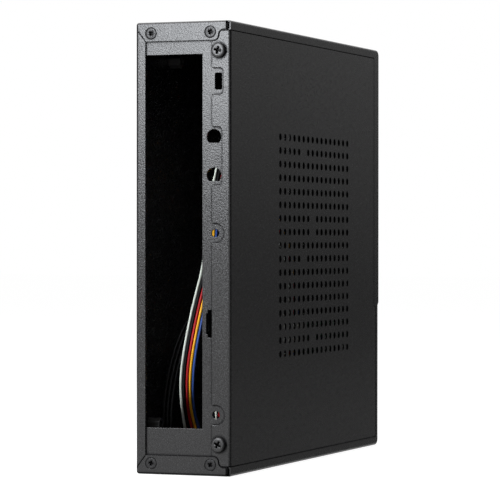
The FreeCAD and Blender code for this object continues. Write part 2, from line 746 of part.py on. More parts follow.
def drive_bracket():
    """Folded tray for a small drive, with a raised rim at each side and a row of slots."""
    top = BRACKET_FLOOR + SHEET
    rim = top + BRACKET_RIM
    tray = block(BRACKET_FLOOR, rim, BRACKET_BACK, BRACKET_END, BRACKET_LOW, BRACKET_HIGH)
    tray = rounded(tray, BEND, lambda m, h: same(m.x, BRACKET_FLOOR) and abs(h.z) > 0.9)
    hollow = block(top, rim + PAST, BRACKET_BACK + SHEET, BRACKET_END - SHEET,
                   BRACKET_LOW - PAST, BRACKET_HIGH + PAST)
    tray = tray.cut(hollow)
    cuts = []
    for y, z in drive_holes():
        cuts.append(rod_x(DRIVE_HOLE, BRACKET_FLOOR - PAST, top + PAST, y, z))
    for y, z in LONG_POSTS:
        cuts.append(rod_x(SCREW_HOLE + COVER_SCREW_PLAY, BRACKET_FLOOR - PAST, top + PAST, y, z))
    middle = (BRACKET_BACK + BRACKET_END) / 2
    for index in range(SLOT_COUNT):
        z = (BRACKET_LOW + BRACKET_HIGH) / 2 + (index - (SLOT_COUNT - 1) / 2) * SLOT_PITCH
        slot = block(BRACKET_FLOOR - PAST, top + PAST, middle - SLOT_LENGTH / 2, middle + SLOT_LENGTH / 2,
                     z - SLOT_WIDTH / 2, z + SLOT_WIDTH / 2)
        cuts.append(slot)
    return cut_all(tray, cuts)


def drive_grommets():
    """Soft rings with a groove that grips the edge of each drive hole."""
    rings = []
    outer = DRIVE_HOLE + 2 * GROMMET_LIP
    back = BRACKET_FLOOR - GROMMET_LIP
    top = BRACKET_FLOOR + SHEET
    for y, z in drive_holes():
        low = rod_x(outer, back, BRACKET_FLOOR - GROMMET_GAP, y, z)
        high = rod_x(outer, top + GROMMET_GAP, top + GROMMET_LIP, y, z)
        neck = rod_x(DRIVE_HOLE - 2 * GROMMET_GAP, back, top + GROMMET_LIP, y, z)
        bore = rod_x(GROMMET_BORE, back - PAST, top + GROMMET_LIP + PAST, y, z)
        rings.append(joined([low, neck, high]).cut(bore))
    return Part.makeCompound(rings)


def bracket_screws():
    screw = turned_to_x(pan_screw(SCREW, PAN_HEAD, PAN_RISE, SCREW_GRIP))
    seat = BRACKET_FLOOR + SHEET
    return Part.makeCompound([moved(screw, seat, y, z) for y, z in LONG_POSTS])


def usb_opening(sign, grow, y0, y1):
    half_x = USB_WIDTH / 2 + grow
    half_z = USB_LENGTH / 2 + grow
    x = sign * USB_X
    return block(x - half_x, x + half_x, y0, y1, USB_UP - half_z, USB_UP + half_z)


def front_port_panel():
    """Moulded panel that fills the window from inside, with bosses for the circuit."""
    half = WINDOW_WIDTH / 2 - PANEL_GAP
    face = block(-half, half, PANEL_BACK, LOW_FRONT, WINDOW_LOW + PANEL_GAP, WINDOW_HIGH - PANEL_GAP)
    face = rounded(face, WINDOW_CORNER, lambda m, h: abs(h.y) > 0.9)
    wide = WINDOW_WIDTH / 2 + PANEL_RIM
    rim = block(-wide, wide, PANEL_BACK, WALL_BACK, WINDOW_LOW - PANEL_RIM, WINDOW_HIGH + PANEL_RIM)
    bosses = []
    for x, up in boss_places():
        bosses.append(rod_y(BOSS, CIRCUIT_FACE, PANEL_BACK + PANEL_RIM_SHEET / 2, x, up))
    panel = joined([face, rim] + bosses)
    cuts = [rod_y(BUTTON_BORE, PANEL_BACK - PAST, LOW_FRONT + PAST, 0, BUTTON_UP)]
    for sign in (-1, 1):
        cuts.append(rod_y(PIPE + 2 * PORT_GAP, PANEL_BACK - PAST, LOW_FRONT + PAST, sign * PIPE_X, PIPE_UP))
        cuts.append(usb_opening(sign, PORT_GAP, PANEL_BACK - PAST, LOW_FRONT + PAST))
        cuts.append(rod_y(AUDIO_NOSE + 2 * PORT_GAP, PANEL_BACK - PAST, LOW_FRONT + PAST,
                          sign * USB_X, AUDIO_UP))
    for x, up in boss_places():
        cuts.append(rod_y(BOARD_SCREW + 2 * CLINCH_GAP, CIRCUIT_FACE - PAST, CIRCUIT_FACE + SCREW_GRIP, x, up))
    return cut_all(panel, cuts)


def boss_places():
    return [(sign * BOSS_X, up) for sign in (-1, 1) for up in BOSS_UPS]


def front_circuit():
    half = WINDOW_WIDTH / 2 + CIRCUIT_EDGE
    board = block(-half, half, CIRCUIT_BACK, CIRCUIT_FACE, WINDOW_LOW, WINDOW_HIGH)
    holes = [rod_y(BOARD_SCREW + COVER_SCREW_PLAY, CIRCUIT_BACK - PAST, CIRCUIT_FACE + PAST, x, up)
             for x, up in boss_places()]
    return cut_all(board, holes)


def circuit_screws():
    screw = pan_screw(BOARD_SCREW, BOARD_SCREW_HEAD, BOARD_SCREW_RISE, SCREW_GRIP)
    return Part.makeCompound([moved(screw, x, CIRCUIT_BACK, up) for x, up in boss_places()])


def power_button():
    """Round cap with a rim behind the panel and a stem down to the switch."""
    radius = BUTTON_BORE / 2 - BUTTON_GAP
    shoulder = LOW_FRONT + BUTTON_PROUD - BUTTON_EDGE
    cap = rod_y(2 * radius, RIM_BACK, shoulder, 0, BUTTON_UP)
    edge = Part.makeCone(radius, radius - BUTTON_EDGE, BUTTON_EDGE, spot(0, shoulder, BUTTON_UP), ALONG_Y)
    rim = rod_y(BUTTON_BORE + 2 * BUTTON_RIM, RIM_BACK, RIM_FACE, 0, BUTTON_UP)
    stem = rod_y(STEM, RIM_BACK - STEM_LENGTH, RIM_BACK + PAST / 2, 0, BUTTON_UP)
    return joined([cap, edge, rim, stem])


def switch_plunger():
    return rod_y(PLUNGER, SWITCH_FACE - PLUNGER_SUNK, RIM_BACK - STEM_LENGTH, 0, BUTTON_UP)


def power_switch():
    half = SWITCH / 2
    body = block(-half, half, CIRCUIT_FACE, SWITCH_FACE, BUTTON_UP - half, BUTTON_UP + half)
    floor = SWITCH_FACE - PLUNGER_SUNK - BUTTON_TRAVEL - PLUNGER_GAP
    return body.cut(rod_y(PLUNGER + 2 * PLUNGER_GAP, floor, SWITCH_FACE + PAST, 0, BUTTON_UP))


def usb_port(sign):
    """Folded metal sleeve of a socket, open at its mouth."""
    mouth = LOW_FRONT - USB_WALL
    sleeve = usb_opening(sign, 0, CIRCUIT_FACE, mouth)
    return sleeve.cut(usb_opening(sign, -USB_WALL, CIRCUIT_FACE - PAST, mouth + PAST))


def usb_insert(sign):
    """Moulded base that fills the sleeve's back, with the contact tongue."""
    base = usb_opening(sign, -USB_WALL - CLINCH_GAP, CIRCUIT_FACE, CIRCUIT_FACE + USB_BASE)
    x = sign * USB_X - TONGUE_OFFSET
    half_z = USB_LENGTH / 2 - USB_WALL - TONGUE_MARGIN
    tongue = block(x - TONGUE / 2, x + TONGUE / 2, CIRCUIT_FACE + USB_BASE / 2, LOW_FRONT - TONGUE_BACK,
                   USB_UP - half_z, USB_UP + half_z)
    return joined([base, tongue])


def audio_jack(sign):
    x = sign * USB_X
    half = AUDIO_BODY / 2
    body = block(x - half, x + half, CIRCUIT_FACE, PANEL_BACK - PORT_GAP, AUDIO_UP - half, AUDIO_UP + half)
    nose = rod_y(AUDIO_NOSE, PANEL_BACK - PORT_GAP - PAST, LOW_FRONT - PORT_GAP, x, AUDIO_UP)
    bore = rod_y(AUDIO_BORE, CIRCUIT_FACE + AUDIO_FLOOR, LOW_FRONT + PAST, x, AUDIO_UP)
    return joined([body, nose]).cut(bore)


def light_pipe(sign):
    x = sign * PIPE_X
    back = CIRCUIT_FACE + CHIP_RISE
    pipe = rod_y(PIPE, back, LOW_FRONT, x, PIPE_UP)
    rim = rod_y(PIPE + 2 * PIPE_RIM, PANEL_BACK - PIPE_RIM_SHEET, PANEL_BACK, x, PIPE_UP)
    return joined([pipe, rim])


def status_lights():
    chips = []
    for sign in (-1, 1):
        x = sign * PIPE_X
        half = CHIP / 2
        chips.append(block(x - half, x + half, CIRCUIT_FACE, CIRCUIT_FACE + CHIP_RISE,
                           PIPE_UP - half, PIPE_UP + half))
    return Part.makeCompound(chips)


def route_place(place):
    """Place on a drawn route, stretched to the case's own width, depth and height."""
    return spot(place[0] * WIDTH / ROUTE_WIDTH, place[1] * DEPTH / ROUTE_DEPTH, place[2] * HEIGHT / ROUTE_HEIGHT)


def stepped(entry, slot, lift):
    """Point of one lead: the row's place, its step times the slot, and a rise."""
    place, step = entry
    return route_place(place) + spot(step[0] * slot, step[1] * slot, step[2] * slot + lift)


def lead_points(name):
    first_slot, second_slot, lift = LEADS[name]
    points = [stepped(entry, first_slot, 0) for entry in FIRST_LEG[:-1]]
    points.append(stepped(FIRST_LEG[-1], first_slot, lift))
    points.append(stepped(SECOND_LEG[0], second_slot, lift))
    return points + [stepped(entry, second_slot, 0) for entry in SECOND_LEG[1:]]


def dark_points(slot):
    return [stepped(entry, slot, 0) for entry in DARK_ROUTE]


def lead_tube(name, points):
    """Tube along straight runs joined by tangent arcs, as wide as its runs allow."""
    edges = []
    radii = []
    start = points[0]
    for before, corner, after in zip(points, points[1:], points[2:]):
        arriving = corner.sub(before)
        leaving = after.sub(corner)
        run = min(arriving.Length, leaving.Length)
        turn = arriving.getAngle(leaving)
        radii.append(RUN_SHARE * run / math.tan(turn / 2))
        arriving.normalize()
        leaving.normalize()
        enter = corner - arriving * (RUN_SHARE * run)
        leave = corner + leaving * (RUN_SHARE * run)
        inward = (leaving - arriving).normalize()
        sag = radii[-1] * (1 / math.cos(turn / 2) - 1)
        edges.append(Part.LineSegment(start, enter).toShape())
        edges.append(Part.Arc(enter, corner + inward * sag, leave).toShape())
        start = leave
    edges.append(Part.LineSegment(start, points[-1]).toShape())
    path = Part.Wire(edges)
    circle = Part.Wire(Part.Circle(points[0], points[1].sub(points[0]), LEAD / 2).toShape())
    tube = path.makePipeShell([circle], True, False)
    area = math.pi * LEAD * LEAD / 4
    print(name, "length", round(path.Length, 1), "least radius", round(min(radii), 1),
          "volume share", round(tube.Volume / (area * path.Length), 4))
    return tube


def lead_sockets():
    """Board connectors at the back of the front circuit, one for each row of leads."""
    blocks = []
    for route, count in ((FIRST_LEG, len(LEADS)), (DARK_ROUTE, len(DARK_LEADS))):
        place, step = route[0]
        start = route_place(place)
        blocks.append(block(start.x - SOCKET_MARGIN, start.x + step[0] * (count - 1) + SOCKET_MARGIN,
                            start.y, CIRCUIT_BACK, start.z - SOCKET_HALF, start.z + SOCKET_HALF))
    return blocks


def header_plug():
    """Plug on the coloured leads, hanging from their ends beside the cover."""
    place, step = SECOND_LEG[-1]
    end = route_place(place)
    last = end.y + step[1] * (len(LEADS) - 1)
    return block(end.x - PLUG_HALF, end.x + PLUG_HALF, end.y - PLUG_MARGIN, last + PLUG_MARGIN,
                 end.z - PLUG_LENGTH, end.z)


def usb_plug():
    """Plug on the dark leads, over the board's place."""
    place, step = DARK_ROUTE[-1]
    end = route_place(place)
    last = end.x + step[0] * (len(DARK_LEADS) - 1)
    return block(end.x - PLUG_MARGIN, last + PLUG_MARGIN, end.y, end.y + PLUG_LENGTH,
                 end.z - PLUG_HALF, end.z + PLUG_HALF)


def io_plate_screws():
    screw = countersunk_screw()
    return Part.makeCompound([moved(screw, x, REAR, z) for x, z in tab_screw_places()])


def cover_screws():
    screw = pan_screw(SCREW, PAN_HEAD, PAN_RISE, SCREW_GRIP)
    return Part.makeCompound([moved(screw, x, REAR, z) for x, z in cover_screw_places()])


def all_nodes():
    """Every named piece of the case."""
    lead_socket, usb_socket = lead_sockets()
    nodes = {
        "base_shell": base_shell(),
        "io_plate": io_plate(),
        "side_cover": side_cover(),
        "io_plate_screws": io_plate_screws(),
        "cover_screws": cover_screws(),
        "board_posts": board_posts(),
        "bracket_posts": bracket_posts(),
        "drive_bracket": drive_bracket(),
        "drive_grommets": drive_grommets(),
        "bracket_screws": bracket_screws(),
        "front_port_panel": front_port_panel(),
        "front_circuit": front_circuit(),
        "circuit_screws": circuit_screws(),
        "power_button": power_button(),
        "switch_plunger": switch_plunger(),
        "power_switch": power_switch(),
        "power_light_pipe": light_pipe(-1),
        "drive_light_pipe": light_pipe(1),
        "status_lights": status_lights(),
        "lead_socket": lead_socket,
        "usb_lead_socket": usb_socket,
        "header_plug": header_plug(),
        "usb_plug": usb_plug(),
    }
    for number, sign in ((1, -1), (2, 1)):
        nodes["usb_port_%d" % number] = usb_port(sign)
        nodes["usb_insert_%d" % number] = usb_insert(sign)
        nodes["audio_jack_%d" % number] = audio_jack(sign)
    for name in LEADS:
        nodes[name] = lead_tube(name, lead_points(name))
    for slot, name in enumerate(DARK_LEADS):
        nodes[name] = lead_tube(name, dark_points(slot))
    return nodes


os.makedirs("parts", exist_ok=True)
for node, shape in all_nodes().items():
    print(node, "solids", len(shape.Solids), "valid", shape.isValid())
    shape.exportStep("parts/%s.step" % node)
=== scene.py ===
"""Looks of a slim upright mini ITX computer case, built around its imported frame, in metres.

+Z is up, the rear face with the board aperture looks along -Y, the vented cover along +X
and the front port panel along +Y.
"""
import bmesh
import bpy
import math
from mathutils import Matrix, Vector


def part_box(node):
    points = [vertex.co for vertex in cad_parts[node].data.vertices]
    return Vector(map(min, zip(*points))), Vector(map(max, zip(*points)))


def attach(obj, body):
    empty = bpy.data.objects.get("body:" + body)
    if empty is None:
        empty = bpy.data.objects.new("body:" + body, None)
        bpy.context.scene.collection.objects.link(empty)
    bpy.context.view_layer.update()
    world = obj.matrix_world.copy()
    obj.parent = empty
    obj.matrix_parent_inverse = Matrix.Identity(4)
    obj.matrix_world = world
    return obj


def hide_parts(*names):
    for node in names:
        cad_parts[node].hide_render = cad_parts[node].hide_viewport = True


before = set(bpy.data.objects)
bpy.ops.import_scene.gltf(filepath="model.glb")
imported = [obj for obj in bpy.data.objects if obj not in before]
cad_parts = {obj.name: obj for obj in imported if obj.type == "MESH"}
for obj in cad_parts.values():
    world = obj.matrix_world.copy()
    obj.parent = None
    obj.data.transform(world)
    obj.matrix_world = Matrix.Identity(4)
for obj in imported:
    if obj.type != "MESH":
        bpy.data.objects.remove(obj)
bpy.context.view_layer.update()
scene = bpy.context.scene
scene.view_settings.view_transform = "Standard"

# Camera: a long lens level with the middle of the case, standing to the right of the rear
# face, so that the vented cover is seen at a shallow angle.
camera = bpy.data.objects.new("camera", bpy.data.cameras.new("camera"))
camera.data.lens = 194.6
camera.data.sensor_width = 36
camera.location = (0.44062, -1.15696, 0.09958)
camera.rotation_euler = (math.radians(90 - 0.199), math.radians(-0.014), math.radians(21.183))
scene.collection.objects.link(camera)
scene.camera = camera

# Front panel leads: five thin stranded wires in soft coloured insulation, crimped into a
# row at the front board. They lie loose along the base, pass the rear aperture and end in
# one header plug. Each point of a leg is the first wire's place and the step to the next.
LEAD_DIAMETER = 0.0012
FIRST_LEG = (
    ((0.0036, 0.0706, 0.0500), (0.00190, 0, 0)),
    ((0.0036, 0.0580, 0.0500), (0.00190, 0, 0)),
    ((0.0066, 0.0400, 0.0530), (0.00145, 0, 0.0004)),
    ((0.0074, 0.0160, 0.0495), (0.00140, 0, 0.0002)),
    ((0.0046, -0.0120, 0.0440), (0.00140, 0, 0)),
    ((0.0070, -0.0400, 0.0490), (0.00140, 0, 0)),
    ((0.0080, -0.0660, 0.0515), (0.00135, 0, 0)),
    ((0.0089, -0.0874, 0.0380), (0.00135, 0, 0)),
    ((0.0088, -0.0866, 0.0105), (0.00135, 0.00165, 0)),
)
SECOND_LEG = (
    ((-0.0072, -0.0765, 0.0115), (0.00135, 0.00135, 0)),
    ((-0.0078, -0.0800, 0.0240), (0.00080, 0.00150, 0)),
    ((-0.0073, -0.0830, 0.0300), (0.00096, 0.00100, 0)),
    ((-0.0070, -0.0846, 0.0390), (0.00125, 0.00050, 0)),
    ((-0.0060, -0.0844, 0.0500), (0.00132, 0.00020, 0)),
    ((-0.0028, -0.0814, 0.0710), (0.00138, 0.00010, 0)),
    ((0.0023, -0.0796, 0.0910), (0.00135, 0, 0)),
    ((0.0043, -0.0836, 0.1100), (0.00125, 0, 0)),
    ((0.0110, -0.0870, 0.1310), (0.00185, 0, 0)),
    ((0.0136, -0.0840, 0.1500), (0.00125, 0, 0)),
    ((0.0100, -0.0620, 0.1560), (0.00140, 0, 0)),
    ((0.0036, -0.0360, 0.1510), (0.00140, 0, 0)),
    ((0.0016, -0.0140, 0.1350), (0.00140, 0.0003, 0)),
    ((0.0032, -0.0090, 0.1120), (0.00110, 0.0011, 0)),
    ((0.0116, -0.0074, 0.0950), (0.00050, 0.0020, 0)),
    ((0.0146, -0.0079, 0.0790), (0, 0.00254, 0)),
    ((0.0146, -0.0079, 0.0660), (0, 0.00254, 0)),
)
# Name, place in the first row and in the second, lift where they meet, length, colour.
LEADS = (
    ("lead_white", 1, 0, 0.0016, 0.484, (0.62, 0.67, 0.62)),
    ("lead_black", 0, 1, 0, 0.486, (0.006, 0.006, 0.0065)),
    ("lead_red", 2, 2, 0, 0.486, (0.38, 0.010, 0.014)),
    ("lead_yellow", 3, 3, 0, 0.487, (0.86, 0.44, 0.02)),
    ("lead_blue", 4, 4, 0, 0.487, (0.028, 0.075, 0.30)),
)
INSULATION = {"grain": 900.0, "speckle": 0.10, "change": 0.06, "bump": 0.000003}
COLOURED_GLOSS = 0.3
BLACK_GLOSS = 0.1


def node(tree, kind, inputs=(), **settings):
    """Node added to a tree, with its settings and its inputs' values or links."""
    added = tree.nodes.new(kind)
    for name, value in settings.items():
        setattr(added, name, value)
    for name, value in dict(inputs).items():
        if isinstance(value, bpy.types.NodeSocket):
            tree.links.new(value, added.inputs[name])
        else:
            added.inputs[name].default_value = value
    return added


def maths(tree, operation, *values, clamped=False):
    """Result of one sum on numbers or links."""
    return node(tree, "ShaderNodeMath", enumerate(values), operation=operation,
                use_clamp=clamped).outputs[0]


def tinted(tree, colour, share):
    """Colour times a share that changes over the surface."""
    return node(tree, "ShaderNodeVectorMath", {0: colour, "Scale": share},
                operation="SCALE").outputs[0]


def noise(tree, place, scale, detail, distortion=0.0):
    """Noise from 0 to 1, with its grains to the metre."""
    return node(tree, "ShaderNodeTexNoise",
                {"Vector": place, "Scale": scale, "Detail": detail,
                 "Distortion": distortion}).outputs["Fac"]


def effect(name, inputs, outputs):
    """Empty node group with named inputs, each with its usual value, and named outputs."""
    group = bpy.data.node_groups.new(name, "ShaderNodeTree")
    for socket, value in inputs.items():
        kind = "NodeSocketColor" if isinstance(value, tuple) else "NodeSocketFloat"
        added = group.interface.new_socket(name=socket, in_out="INPUT", socket_type=kind)
        added.default_value = value
    for socket, kind in outputs.items():
        group.interface.new_socket(name=socket, in_out="OUTPUT", socket_type=kind)
    given = node(group, "NodeGroupInput").outputs
    result = node(group, "NodeGroupOutput").inputs
    return group, given, result


NOISE_MEAN = 0.5
LOOK_SOCKETS = {"Colour": "NodeSocketColor", "Roughness": "NodeSocketFloat",
                "Height": "NodeSocketFloat"}


def even_grain():
    """Fine even grain: a colour, a roughness and a height that vary over the surface."""
    group, given, result = effect(
        "even grain",
        {"Colour": (0.5, 0.5, 0.5, 1), "Grain per metre": 1500.0, "Speckle": 0.15,
         "Roughness": 0.4, "Roughness change": 0.08},
        LOOK_SOCKETS,
    )
    place = node(group, "ShaderNodeTexCoord").outputs["Object"]
    fine = noise(group, place, given["Grain per metre"], 3.0)
    level = maths(group, "SUBTRACT", fine, NOISE_MEAN)
    broad = maths(group, "SUBTRACT", noise(group, place, 60.0, 2.0), NOISE_MEAN)
    both = maths(group, "ADD", level, broad)
    shade = maths(group, "MULTIPLY_ADD", both, given["Speckle"], 1.0)
    rough = maths(group, "MULTIPLY_ADD", both, given["Roughness change"], given["Roughness"])
    group.links.new(tinted(group, given["Colour"], shade), result["Colour"])
    group.links.new(rough, result["Roughness"])
    group.links.new(fine, result["Height"])
    return group


EVEN_GRAIN = even_grain()
# Painted seam shade: the gloss fades where pieces stand close, in seams and recesses.
SEAM_REACH = 0.0018
SHUT_LIGHT = 0.7
OPEN_LIGHT = 0.9
SEAM_SHARE = 0.12


def gloss_with_painted_seam_shade(tree, level):
    """Gloss with painted shade: it fades in seams and recesses, where pieces keep the light off
    each other.
    """
    around = node(tree, "ShaderNodeAmbientOcclusion", {"Distance": SEAM_REACH}, samples=12)
    shade = node(tree, "ShaderNodeMapRange",
                 {"Value": around.outputs["AO"], "From Min": SHUT_LIGHT, "From Max": OPEN_LIGHT,
                  "To Min": SEAM_SHARE * level, "To Max": level})
    return shade.outputs[0]


def feed(tree, shader, look, colour, relief):
    """Gives a shader its colour, and the roughness and relief of a look."""
    raised = node(tree, "ShaderNodeBump",
                  {"Strength": 1.0, "Distance": relief, "Height": look.outputs["Height"]})
    tree.links.new(colour, shader.inputs["Base Color"])
    tree.links.new(look.outputs["Roughness"], shader.inputs["Roughness"])
    tree.links.new(raised.outputs["Normal"], shader.inputs["Normal"])


def finish(name, colour, roughness, grain, speckle, change, bump, metallic=0.0, specular=0.5,
           transmission=0.0):
    """Material with an even grain and painted seam shade in its gloss: plastic, rubber or metal by
    its values.
    """
    material = bpy.data.materials.new(name)
    material.use_nodes = True
    tree = material.node_tree
    shader = tree.nodes["Principled BSDF"]
    shader.inputs["Metallic"].default_value = metallic
    shader.inputs["Transmission Weight"].default_value = transmission
    shader.inputs["Specular IOR Level"].default_value = specular
    # Painted shade: the gloss fades in seams and recesses.
    tree.links.new(gloss_with_painted_seam_shade(tree, specular), shader.inputs["Specular IOR Level"])
    look = node(tree, "ShaderNodeGroup",
                {"Colour": (*colour, 1), "Grain per metre": grain, "Speckle": speckle,
                 "Roughness": roughness, "Roughness change": change}, node_tree=EVEN_GRAIN)
    feed(tree, shader, look, look.outputs["Colour"], bump)
    return material


def stepped(entry, place_in_row, lift=0.0):
    """Point of one wire of a row: the first wire's place, moved by its steps and lifted."""
    place, step = entry
    return Vector(place) + Vector(step) * place_in_row + Vector((0, 0, lift))


def lead(name, points, material):
    """One wire along its route, as a smooth round curve that ends in its plug."""
    curve = bpy.data.curves.new(name, "CURVE")
    curve.dimensions = "3D"
    curve.bevel_depth = LEAD_DIAMETER / 2
    curve.bevel_resolution = 3
    curve.resolution_u = 10
    curve.use_fill_caps = True
    spline = curve.splines.new("NURBS")
    spline.points.add(len(points) - 1)
    for control, place in zip(spline.points, points):
        control.co = (*place, 1)
    spline.order_u = 3
    spline.use_endpoint_u = True
    curve.materials.append(material)
    wire = bpy.data.objects.new(name + "_wire", curve)
    scene.collection.objects.link(wire)
    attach(wire, "case")
    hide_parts(name)


for name, first, second, lift, length, colour in LEADS:
    points = [stepped(entry, first) for entry in FIRST_LEG[:-1]]
    points += [stepped(FIRST_LEG[-1], first, lift), stepped(SECOND_LEG[0], second, lift)]
    points += [stepped(entry, second) for entry in SECOND_LEG[1:]]
    insulation = finish(name.replace("_", " ") + " insulation", colour, 0.34, **INSULATION,
                        specular=BLACK_GLOSS if name == "lead_black" else COLOURED_GLOSS)
    lead(name, points, insulation)

# USB leads: three dark wires of the front sockets, lying low along the base plate and
# rising inside the aperture to a plug that waits over the place of the board.
DARK_ROUTE = (
    ((-0.0104, 0.0706, 0.0270), (0.0019, 0, 0)),
    ((-0.0104, 0.0540, 0.0270), (0.0019, 0, 0)),
    ((-0.0124, 0.0280, 0.0195), (0.0015, 0, 0)),
    ((-0.0136, -0.0040, 0.0170), (0.0015, 0, 0)),
    ((-0.0154, -0.0340, 0.0125), (0.0015, 0, 0)),
    ((-0.0168, -0.0600, 0.0090), (0.0015, 0, 0)),
    ((-0.0176, -0.0780, 0.0120), (0.0016, 0, 0)),
    ((-0.0180, -0.0770, 0.0290), (0.0018, 0, 0)),
    ((-0.0160, -0.0746, 0.0460), (0.0019, 0, 0)),
    ((-0.0120, -0.0700, 0.0620), (0.0019, 0, 0)),
    ((-0.0056, -0.0600, 0.0760), (0.0019, 0, 0)),
    ((-0.0016, -0.0460, 0.0850), (0.00254, 0, 0)),
    ((-0.0016, -0.0340, 0.0850), (0.00254, 0, 0)),
)
dark_insulation = finish("dark lead insulation", (0.007, 0.007, 0.0075), 0.5, **INSULATION,
                         specular=0.08)
for place_in_row in range(3):
    lead("usb_lead_%d" % (place_in_row + 1),
         [stepped(entry, place_in_row) for entry in DARK_ROUTE],
         dark_insulation)

# Base shell: one sheet of 0.8 mm steel, punched and folded into a floor with four walls,
# lips and rear flanges, then powder coated in a fine black sand texture. Its corner mitres
# and notches stand a little open.
SHEET = 0.0008
CASE_HEIGHT = 0.1925
REAR_FACE = -0.09875
COAT_COLOUR = (0.012, 0.012, 0.013)
COAT_ROUGHNESS = 0.26
COAT_GLOSS = 0.45
COAT_GRAIN = 1500.0
COAT_RELIEF = 0.000065
HOLLOW_SHADE = 1.6
GLOSS_CHANGE = 0.35
COAT_DUST = 0.5
DUST_COLOUR = (0.35, 0.35, 0.34, 1)
SAND_FINENESS = 2.3
SAND_SHARE = 0.35
CUT_EDGE = 0.0002
PUNCHED = "punched wall"
# Painted shade on the vent walls: the share of their colour that is taken away.
VENT_WALL_SHADE = 0.8


def sand_coat():
    """Powder coat: pebbled height, painted shade in the hollows of its grain, a change of gloss
    and stray pale dust.
    """
    group, given, result = effect(
        "sand coat",
        {"Colour": (0.5, 0.5, 0.5, 1), "Grain per metre": 950.0, "Hollow shade": 0.5,
         "Roughness": 0.35, "Gloss change": 0.12, "Dust": 0.5},
        LOOK_SOCKETS,
    )
    place = node(group, "ShaderNodeTexCoord").outputs["Object"]
    pebble = noise(group, place, given["Grain per metre"], 1.6, 0.25)
    finer = maths(group, "MULTIPLY", given["Grain per metre"], SAND_FINENESS)
    sand = noise(group, place, finer, 1.0)
    height = maths(group, "MULTIPLY_ADD", sand, SAND_SHARE, pebble)
    level = maths(group, "SUBTRACT", height, NOISE_MEAN * (1 + SAND_SHARE))
    # Painted shade: the colour is darker where the grain is low.
    shade = maths(group, "MULTIPLY_ADD", level, given["Hollow shade"], 1.0)
    specks = node(group, "ShaderNodeTexVoronoi", {"Vector": place, "Scale": 160.0})
    dust = node(group, "ShaderNodeMapRange",
                {"Value": specks.outputs["Distance"], "From Min": 0.03, "From Max": 0.07,
                 "To Min": 1.0, "To Max": 0.0})
    few = node(group, "ShaderNodeMapRange",
               {"Value": noise(group, place, 45.0, 0.0), "From Min": 0.55, "From Max": 0.72})
    sparse = maths(group, "MULTIPLY", dust.outputs[0], few.outputs[0])
    amount = maths(group, "MULTIPLY", sparse, given["Dust"])
    dusty = node(group, "ShaderNodeMix", {"Factor": amount}, data_type="RGBA")
    group.links.new(tinted(group, given["Colour"], shade), dusty.inputs["A"])
    dusty.inputs["B"].default_value = DUST_COLOUR
    group.links.new(dusty.outputs["Result"], result["Colour"])
    rough = maths(group, "MULTIPLY_ADD", level, given["Gloss change"], given["Roughness"])
    group.links.new(rough, result["Roughness"])
    group.links.new(height, result["Height"])
    return group


SAND_COAT = sand_coat()


def powder_coat(name):
    """Satin black powder coat on steel sheet, with painted shade on the walls of the vents, where
    its colour is darker and it has no gloss.
    """
    material = bpy.data.materials.new(name)
    material.use_nodes = True
    tree = material.node_tree
    shader = tree.nodes["Principled BSDF"]
    # Painted shade: the gloss fades in seams and is taken away on the vent walls, which this mask
    # marks.
    wall = node(tree, "ShaderNodeAttribute", attribute_name=PUNCHED).outputs["Fac"]
    gloss = maths(tree, "MULTIPLY_ADD", wall, -COAT_GLOSS, gloss_with_painted_seam_shade(tree, COAT_GLOSS),
                  clamped=True)
    shader.inputs["Specular IOR Level"].default_value = COAT_GLOSS
    tree.links.new(gloss, shader.inputs["Specular IOR Level"])
    look = node(tree, "ShaderNodeGroup",
                {"Colour": (*COAT_COLOUR, 1), "Grain per metre": COAT_GRAIN,
                 "Hollow shade": HOLLOW_SHADE, "Roughness": COAT_ROUGHNESS,
                 "Gloss change": GLOSS_CHANGE, "Dust": COAT_DUST}, node_tree=SAND_COAT)
    # Painted shade on the vent walls: their colour is darkened.
    painted_wall_shade = maths(tree, "MULTIPLY_ADD", wall, -VENT_WALL_SHADE, 1.0)
    feed(tree, shader, look, tinted(tree, look.outputs["Colour"], painted_wall_shade), COAT_RELIEF)
    return material


COAT = powder_coat("black sand powder coat")


def put(piece, body, slot, material, *nodes):
    """Hangs a finished piece in the scene: its finish, its body and the nodes it stands for."""
    piece.data.materials.clear()
    piece.data.materials.append(material)
    scene.collection.objects.link(piece)
    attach(piece, body)
    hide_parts(*nodes)
    return piece


MERGE_DISTANCE = 1e-6
FLAT_ANGLE = 0.5
SHARP_ANGLE = 35


def clean_mesh(name):
    """Merged copy of a CAD node's mesh, its flat faces joined and its shading smooth."""
    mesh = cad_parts[name].data.copy()
    if "custom_normal" in mesh.attributes:
        mesh.attributes.remove(mesh.attributes["custom_normal"])
    work = bmesh.new()
    work.from_mesh(mesh)
    bmesh.ops.remove_doubles(work, verts=work.verts, dist=MERGE_DISTANCE)
    bmesh.ops.dissolve_limit(work, angle_limit=math.radians(FLAT_ANGLE), verts=work.verts,
                             edges=work.edges)
    for face in work.faces:
        face.smooth = True
    work.to_mesh(mesh)
    work.free()
    return mesh


def softened(piece, edge, sharp=SHARP_ANGLE, clamped=False, weighted=False):
    """Rounds a piece's edges by edge metres and shades its flats evenly."""
    rounding = piece.modifiers.new("rounded edges", "BEVEL")
    rounding.width = edge
    rounding.segments = 2
    rounding.limit_method = "WEIGHT" if weighted else "ANGLE"
    rounding.angle_limit = math.radians(sharp)
    rounding.use_clamp_overlap = clamped
    shading = piece.modifiers.new("even shading", "WEIGHTED_NORMAL")
    shading.keep_sharp = True
    return piece


def dressed(name, body, slot, material, edge):
    """Copy of a CAD node with soft edges, in its place."""
    piece = softened(bpy.data.objects.new(name + "_piece", clean_mesh(name)), edge)
    return put(piece, body, slot, material, name)


